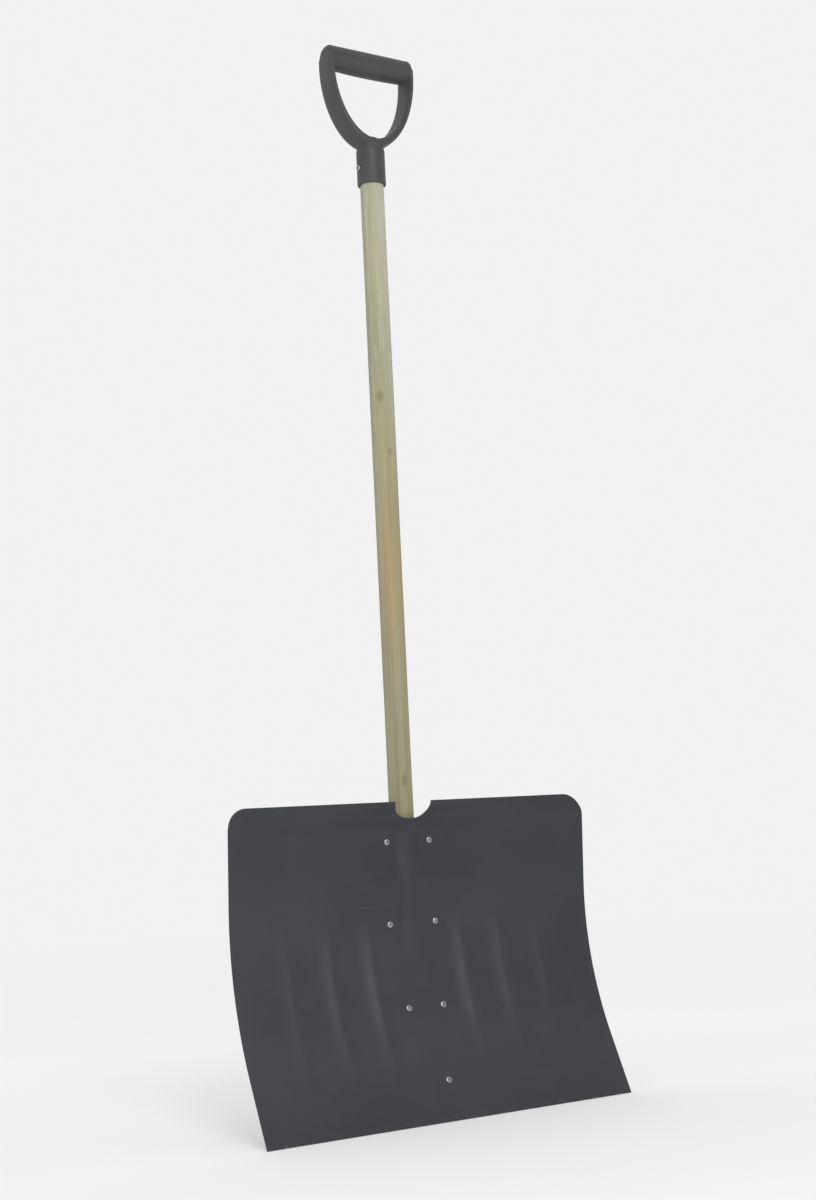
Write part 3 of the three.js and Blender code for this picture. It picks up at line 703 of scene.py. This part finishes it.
def blade_point(x, down, behind=0.0):
    """Points of the blade, a given depth behind its front face."""
    y, z, lean = profile(down)
    depth = pressing(x, down) + behind
    return np.stack([x + 0 * down, y + depth * np.cos(lean), z - depth * np.sin(lean)], -1)


def blade_inward(x, down):
    """The direction straight through the sheet, from the front face to the back."""
    step = 0.5 * MM
    across = Vector(blade_point(x + step, down) - blade_point(x - step, down))
    along = Vector(blade_point(x, down + step) - blade_point(x, down - step))
    return across.cross(along).normalized()


# ------------------------------------------------------------------ blade
def blade_columns():
    """Positions across the blade, close together where the outline turns."""
    half = BLADE_WIDTH / 2
    notch = NOTCH_HALF_WIDTH * np.sin(np.linspace(0, math.pi / 2, NOTCH_COLUMNS)) ** (2 / NOTCH_SQUARENESS)
    flat = np.linspace(NOTCH_HALF_WIDTH, half - CORNER_RADIUS, FLAT_COLUMNS)[1:]
    turn = np.linspace(0, math.pi / 2, CORNER_COLUMNS)[1:]
    corner = half - CORNER_RADIUS + CORNER_RADIUS * np.sin(turn)
    right = np.concatenate([notch, flat, corner])
    return np.concatenate([-right[:0:-1], right])


def top_edge(x):
    """How far down the sheet begins: 0, more in the rounded corners and the notch."""
    beyond = np.maximum(np.abs(x) - (BLADE_WIDTH / 2 - CORNER_RADIUS), 0)
    corner = CORNER_RADIUS - np.sqrt(np.maximum(CORNER_RADIUS**2 - beyond**2, 0))
    across = np.clip(np.abs(x) / NOTCH_HALF_WIDTH, 0, 1) ** NOTCH_SQUARENESS
    notch = NOTCH_DEPTH * (1 - across) ** (1 / NOTCH_SQUARENESS)
    return np.maximum(corner, np.maximum(notch, 0))


def make_blade(material):
    """The sheet, cut level along its lower edge."""
    xs = blade_columns()
    start = top_edge(xs)
    shares = np.linspace(0, 1, NOTCH_ROWS)
    upper = start[None, :] + (TRIMMED_END - start[None, :]) * shares[:, None]

    def rows(length):
        lower = np.linspace(TRIMMED_END, length, LOWER_ROWS + 1)[1:]
        return np.concatenate([upper, np.repeat(lower[:, None], len(xs), 1)])

    across = np.repeat(xs[None, :], NOTCH_ROWS + LOWER_ROWS, 0)
    front = blade_point(across, rows(BLADE_LENGTH))
    level = BLADE_LENGTH - BLADE_SHEET * math.tan(LOWER_LEAN)
    back = blade_point(across, rows(level), BLADE_SHEET)
    blade = closed_sheet("blade_pressed", front, back, material)
    bevel(blade, BLADE_EDGE_BEVEL)
    smooth(blade, 60)
    finish_piece(blade, "blade")


# ------------------------------------------------------------------ socket bracket
def bracket_rows(downs, thick):
    """Rows of points across the bracket, a given depth behind the side that faces the blade."""
    flange_taper = smoothstep(downs, FLANGE_TAPER_START, FLANGE_TAPER_END)
    taper = smoothstep(downs, CHANNEL_TAPER_START, CHANNEL_TAPER_END)
    round_share = np.clip((downs - TAIL_ROUND_START) / (BRACKET_BOTTOM - TAIL_ROUND_START), 0, 1)
    tip = np.sqrt(1 - (TAIL_ROUNDNESS * round_share) ** 2)
    flange = tip * (FLANGE_HALF_WIDTH + (TAIL_HALF_WIDTH - FLANGE_HALF_WIDTH) * flange_taper)
    channel = tip * (CHANNEL_RADIUS + (CHANNEL_END_HALF_WIDTH - CHANNEL_RADIUS) * taper)
    seat = blade_point(channel, downs, BLADE_SHEET + GAP)[:, 1]
    wall_y = AXIS_Y + (seat - AXIS_Y) * taper
    back_y = AXIS_Y + CHANNEL_RADIUS + (seat - AXIS_Y - CHANNEL_RADIUS) * taper
    behind = BLADE_SHEET + GAP + thick
    edge = channel + thick
    foot = edge + CHANNEL_DRAFT
    spread = np.linspace(0, 1, FLANGE_COLUMNS)
    outer = flange[:, None] + (foot - flange)[:, None] * spread
    left = blade_point(-outer, np.repeat(downs[:, None], FLANGE_COLUMNS, 1), behind)
    right = left[:, ::-1] * np.array([-1, 1, 1])
    angle = np.linspace(0, np.pi, CHANNEL_COLUMNS)
    crown = np.sin(angle)[None, :]
    y = wall_y[:, None] + (back_y - wall_y)[:, None] * crown
    y = y + thick * (crown + (1 - crown) * taper[:, None])
    x = -edge[:, None] * np.cos(angle)[None, :]
    z = np.repeat(right[:, :1, 2], CHANNEL_COLUMNS, 1)
    return np.concatenate([left, np.stack([x, y, z], -1), right], 1)


def make_bracket(material):
    straight = np.linspace(BRACKET_TOP, TAIL_ROUND_START, BRACKET_ROWS)
    share = np.sin(np.linspace(0, math.pi / 2, TAIL_ROWS)[1:])
    downs = np.concatenate([straight, TAIL_ROUND_START + (BRACKET_BOTTOM - TAIL_ROUND_START) * share])
    front, back = bracket_rows(downs, 0.0), bracket_rows(downs, BRACKET_SHEET)
    bracket = closed_sheet("bracket_pressed", front, back, material)
    bevel(bracket, BRACKET_EDGE_BEVEL)
    smooth(bracket, 50)
    finish_piece(bracket, "socket_bracket")


# ------------------------------------------------------------------ rivets and screws
def make_rivet(name, x, down, aluminium, steel):
    """A set blind rivet, with what is left of its mandrel inside."""
    clamped = BLADE_SHEET + BRACKET_SHEET + GAP
    tail = clamped + GAP
    end = tail + RIVET_BULB_LENGTH
    head = RIVET_HEAD_HEIGHT
    place = Vector(blade_point(x, down))
    inward = blade_inward(x, down)
    bore = RIVET_BORE_RADIUS
    outline = rounded([
        (bore, -0.5 * head),
        (bore, -head),
        (0.62 * RIVET_HEAD_RADIUS, -0.93 * head),
        (0.90 * RIVET_HEAD_RADIUS, -0.55 * head),
        (RIVET_HEAD_RADIUS, -0.02 * head),
        (RIVET_RADIUS, 0.0),
        (RIVET_RADIUS, tail),
        (RIVET_BULB_RADIUS, tail + 0.3 * RIVET_BULB_LENGTH),
        (RIVET_BULB_RADIUS, tail + 0.7 * RIVET_BULB_LENGTH),
        (bore + 0.5 * MM, end),
        (bore, end),
        (bore, -0.5 * head),
    ], 0.35 * MM)
    rivet = turned(f"rivet_{name}_set", outline, RIVET_SEGMENTS, aluminium)
    aim(rivet, place, inward)
    smooth(rivet, 50)
    finish_piece(rivet, f"rivet_{name}")
    stub = rounded([
        (0.0, -0.45 * head),
        (0.55 * MANDREL_RADIUS, -0.62 * head),
        (MANDREL_RADIUS, -0.40 * head),
        (MANDREL_RADIUS, end + GAP),
        (1.9 * MANDREL_RADIUS, end + GAP),
        (1.9 * MANDREL_RADIUS, end + GAP + 0.9 * MM),
        (1.1 * MANDREL_RADIUS, end + GAP + 1.6 * MM),
        (0.0, end + GAP + 1.6 * MM),
    ], 0.25 * MM)
    mandrel = turned(f"mandrel_{name}_stub", stub, MANDREL_SEGMENTS, steel)
    aim(mandrel, place, inward)
    smooth(mandrel, 50)
    finish_piece(mandrel, f"mandrel_{name}")


def make_screw(name, seat, direction, steel, node):
    """A pan-head screw with a cross recess and a threaded shank."""
    threads = []
    height = THREAD_START
    while height < SCREW_LENGTH - SCREW_PLAIN_TIP:
        threads.append((SCREW_RADIUS - THREAD_DEPTH, height))
        threads.append((SCREW_RADIUS, height + THREAD_PITCH / 2))
        height += THREAD_PITCH
    head = SCREW_HEAD_HEIGHT
    crown = []
    for i in range(SCREW_CROWN_STEPS + 1):
        angle = math.pi / 2 * i / SCREW_CROWN_STEPS
        crown.append((SCREW_HEAD_RADIUS * math.sin(angle), -0.35 * head - 0.65 * head * math.cos(angle)))
    pairs = crown + [(SCREW_HEAD_RADIUS, 0.0), (SCREW_RADIUS, 0.0), *threads, (0.0, SCREW_LENGTH)]
    screw = turned(name, pairs, SCREW_SEGMENTS, steel)
    for angle in (0, math.pi / 2):
        bar = bmesh.new()
        bmesh.ops.create_cube(bar, size=1)
        size = Matrix.Diagonal((*RECESS_SIZE, 1))
        bar.transform(Matrix.Translation((0, 0, -head)) @ Matrix.Rotation(angle, 4, "Z") @ size)
        mesh = bpy.data.meshes.new("recess")
        bar.to_mesh(mesh)
        bar.free()
        cutter = bpy.data.objects.new("recess", mesh)
        bpy.context.scene.collection.objects.link(cutter)
        boolean(screw, cutter, "DIFFERENCE")
    aim(screw, seat, direction)
    smooth(screw, 35)
    finish_piece(screw, node)


# ------------------------------------------------------------------ shaft
def make_shaft(material):
    """The pole, very slightly uneven, with eased ends."""
    ease = SHAFT_END_EASE
    low, high = SHAFT_LOW.z, SHAFT_HIGH.z
    along = np.linspace(low + ease, high - ease, SHAFT_ROWS)
    heights = np.concatenate([[low, low + 0.3 * ease], along, [high]])
    pairs = []
    for height in heights:
        drawn_in = max(0.0, low + ease - height, height - high + ease)
        unevenness = 0.12 * MM * math.sin(9 * height) + 0.07 * MM * math.sin(23 * height + 1)
        pairs.append((SHAFT_RADIUS - SHAFT_INSET + unevenness - 0.8 * drawn_in, height))
    shaft = turned("shaft_pole", [(0.0, low), *pairs, (0.0, high)], SHAFT_SEGMENTS, material)
    shaft.data.transform(Matrix.Translation((0, AXIS_Y, 0)))
    smooth(shaft, 40)
    finish_piece(shaft, "shaft")


# ------------------------------------------------------------------ D-grip
def make_crossbar():
    """The crossbar, with the arms' domed top ends, turned about its own axis."""
    bar_end = YOKE_INNER_HALF_WIDTH
    thick = GRIP_HALF_WIDTH - bar_end
    dome = []
    for turn in np.linspace(0, math.pi / 2, DOME_ROWS):
        radius = ARM_END_FACE_RADIUS + (YOKE_DEPTH / 2 - ARM_END_FACE_RADIUS) * math.cos(turn)
        dome.append((radius, bar_end + thick * math.sin(turn)))
    dome.append((0.0, GRIP_HALF_WIDTH))
    bar = []
    for x in np.linspace(-bar_end, bar_end, CROSSBAR_ROWS):
        bar.append((BAR_RADIUS + (BAR_END_RADIUS - BAR_RADIUS) * (x / bar_end) ** 2, float(x)))
    pairs = [(radius, -x) for radius, x in reversed(dome)] + bar + dome
    crossbar = turned("crossbar", pairs, CROSSBAR_SEGMENTS)
    crossbar.data.transform(Matrix.Rotation(math.pi / 2, 4, "Y"))
    for vertex in crossbar.data.vertices:
        height = math.hypot(vertex.co.y, vertex.co.z)
        if abs(vertex.co.x) <= bar_end + 0.01 * MM and height < BAR_RADIUS + 0.1 * MM:
            vertex.co.z += BAR_RADIUS - height
            vertex.co.y *= BAR_FLATTENING
        elif vertex.co.z > 0:
            vertex.co.z *= ARM_TOP_FLATTENING
    crossbar.data.transform(Matrix.Translation((0, AXIS_Y, BAR_Z)))
    return crossbar


def make_yoke():
    """Two arms that meet under the hand hole, as a band of rounded section."""
    steps, ring = YOKE_STEPS, YOKE_RING
    vertices = []
    for i in range(steps + 1):
        share = i / steps
        turn = math.pi * share
        reach, drop = math.cos(turn), math.sin(turn)
        outer = Vector((-GRIP_HALF_WIDTH * reach, 0, YOKE_CENTRE_Z - YOKE_OUTER_DROP * drop))
        inner = Vector((-YOKE_INNER_HALF_WIDTH * reach, 0, YOKE_CENTRE_Z - YOKE_INNER_DROP * drop))
        if i in (0, steps):
            outer.z = inner.z = BAR_Z
        middle = (outer + inner) / 2
        across = (outer - inner) / 2
        for k in range(ring):
            angle = 2 * math.pi * k / ring
            power = 2 / ARM_SQUARENESS
            u = math.copysign(abs(math.cos(angle)) ** power, math.cos(angle))
            v = math.copysign(abs(math.sin(angle)) ** power, math.sin(angle))
            point = middle + across * u
            vertices.append((point.x, AXIS_Y + v * YOKE_DEPTH / 2, point.z))
    faces = []
    for i in range(steps):
        for k in range(ring):
            a, b = i * ring + k, i * ring + (k + 1) % ring
            faces.append((a, b, b + ring, a + ring))
    faces.append(tuple(range(ring)))
    faces.append(tuple(steps * ring + k for k in reversed(range(ring))))
    yoke = new_object("yoke", vertices, faces)
    face_outwards(yoke)
    return yoke


def make_socket():
    """The sleeve that takes the shaft's end, with a bead round its rim."""
    rim = 1.2 * MM
    outline = rounded([
        (0.0, RIM_Z),
        (SOCKET_RADIUS, RIM_Z),
        (SOCKET_RADIUS + 0.3 * MM, RIM_Z + 2 * rim),
        (SOCKET_RADIUS, RIM_Z + 5 * rim),
        (SOCKET_RADIUS, SOCKET_TOP_Z - 18 * MM),
        (SOCKET_RADIUS - 3 * MM, SOCKET_TOP_Z - 5 * MM),
        (SOCKET_RADIUS - 9 * MM, SOCKET_TOP_Z),
        (0.0, SOCKET_TOP_Z),
    ], rim)
    socket = turned("socket", outline, SOCKET_SEGMENTS)
    socket.data.transform(Matrix.Translation((0, AXIS_Y, 0)))
    return socket


def make_grip(material):
    """Crossbar, arms and socket as one moulding with soft inner corners, bored for the shaft."""
    grip = make_yoke()
    boolean(grip, make_crossbar(), "UNION")
    boolean(grip, make_socket(), "UNION")
    remesh = grip.modifiers.new("even", "REMESH")
    remesh.mode = "VOXEL"
    remesh.voxel_size = GRIP_VOXEL
    relax = grip.modifiers.new("fillets", "SMOOTH")
    relax.factor = 0.5
    relax.iterations = 7
    apply_modifiers(grip)
    bore_radius = SHAFT_RADIUS + GAP
    bore_top = SHAFT_HIGH.z + GAP
    bore_start = RIM_Z - BORE_OVERRUN
    outline = [(0.0, bore_start), (bore_radius, bore_start), (bore_radius, bore_top), (0.0, bore_top)]
    bore = turned("bore", outline, SOCKET_SEGMENTS)
    bore.data.transform(Matrix.Translation((0, AXIS_Y, 0)))
    boolean(grip, bore, "DIFFERENCE")
    grip.name = "d_grip_moulded"
    grip.data.materials.clear()
    grip.data.materials.append(material)
    smooth(grip, 45)
    finish_piece(grip, "d_grip")


# ------------------------------------------------------------------ studio
def add_camera():
    lens = bpy.data.cameras.new("camera")
    lens.lens = CAMERA_LENS_MM
    lens.clip_start, lens.clip_end = CAMERA_CLIP
    camera = bpy.data.objects.new("camera", lens)
    upright = Matrix.Rotation(math.pi / 2 + CAMERA_PITCH, 4, "X")
    turn = Matrix.Rotation(-CAMERA_TURN, 4, "Z")
    roll = Matrix.Rotation(CAMERA_ROLL, 4, "Z")
    camera.matrix_world = Matrix.Translation(CAMERA_PLACE) @ turn @ upright @ roll
    bpy.context.scene.collection.objects.link(camera)
    bpy.context.scene.camera = camera


def add_world():
    """A pale wall behind the object, which runs low all round a darker room."""
    world = bpy.data.worlds.new("studio")
    world.use_nodes = True
    nodes, links = world.node_tree.nodes, world.node_tree.links
    place = nodes.new("ShaderNodeTexCoord")
    brighter = nodes.new("ShaderNodeMath")
    brighter.operation = "MAXIMUM"
    for direction, span, shades, brighter_input in (
        (WALL_AXIS, WALL_FADE, (ROOM_WHITE, WALL_WHITE), brighter.inputs[0]),
        ((0, 0, 1), LOW_WALL_FADE, (WALL_WHITE, ROOM_WHITE), brighter.inputs[1]),
    ):
        along = nodes.new("ShaderNodeVectorMath")
        along.operation = "DOT_PRODUCT"
        along.inputs[1].default_value = direction
        links.new(place.outputs["Generated"], along.inputs[0])
        shade = nodes.new("ShaderNodeMapRange")
        shade.interpolation_type = "SMOOTHSTEP"
        for socket, value in zip(list(shade.inputs)[1:5], (*span, *shades)):
            socket.default_value = value
        links.new(along.outputs["Value"], shade.inputs[0])
        links.new(shade.outputs[0], brighter_input)
    background = nodes["Background"]
    links.new(brighter.outputs[0], background.inputs["Strength"])
    background.inputs["Color"].default_value = WHITE
    bpy.context.scene.world = world


def add_key_light():
    lamp = bpy.data.lights.new("key", "AREA")
    lamp.shape = "DISK"
    lamp.size = KEY_SIZE
    lamp.energy = KEY_POWER
    key = bpy.data.objects.new("key", lamp)
    turn = KEY_AWAY.to_track_quat("Z", "Y").to_matrix().to_4x4()
    key.matrix_world = Matrix.Translation(KEY_TARGET + KEY_DISTANCE * KEY_AWAY) @ turn
    bpy.context.scene.collection.objects.link(key)


def add_studio():
    size = FLOOR_HALF_SIZE
    corners = [(-size, -size, 0), (size, -size, 0), (size, size, 0), (-size, size, 0)]
    floor = new_object("floor", corners, [(0, 1, 2, 3)], stage_floor())
    add_world()
    add_key_light()
    bpy.context.scene.view_settings.view_transform = "Standard"


# ------------------------------------------------------------------ the shovel
add_camera()
add_studio()
blade_paint = paint("blade_paint", BLADE_PAINT, BLADE_WORN, dusty_and_lit=True)
bracket_paint = paint("bracket_paint", BRACKET_PAINT, BRACKET_WORN)
aluminium = metal("aluminium", (0.45, 0.46, 0.48), (0.31, 0.31, 0.33), 0.38, 0.52, 420)
mandrel_steel = metal("mandrel_steel", (0.42, 0.42, 0.43), (0.25, 0.25, 0.26), 0.35, 0.5, 500)
screw_steel = metal("screw_steel", (0.40, 0.40, 0.40), (0.26, 0.26, 0.26), 0.36, 0.50, 420)
make_blade(blade_paint)
make_bracket(bracket_paint)
make_shaft(shaft_wood())
make_grip(grip_plastic())
for rivet_name, (rivet_x, rivet_down) in RIVETS.items():
    make_rivet(rivet_name, rivet_x, rivet_down, aluminium, mandrel_steel)
for level_name in ("upper", "lower"):
    low, high = (Vector(corner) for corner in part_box(f"shaft_screw_{level_name}"))
    back = Vector(((low.x + high.x) / 2, high.y - SCREW_HEAD_HEIGHT, (low.z + high.z) / 2))
    make_screw(f"screw_{level_name}", back, Vector((0, -1, 0)), screw_steel, f"shaft_screw_{level_name}")
low, high = (Vector(corner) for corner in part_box("grip_screw"))
side = Vector((low.x + SCREW_HEAD_HEIGHT, (low.y + high.y) / 2, (low.z + high.z) / 2))
make_screw("screw_grip", side, Vector((1, 0, 0)), screw_steel, "grip_screw")
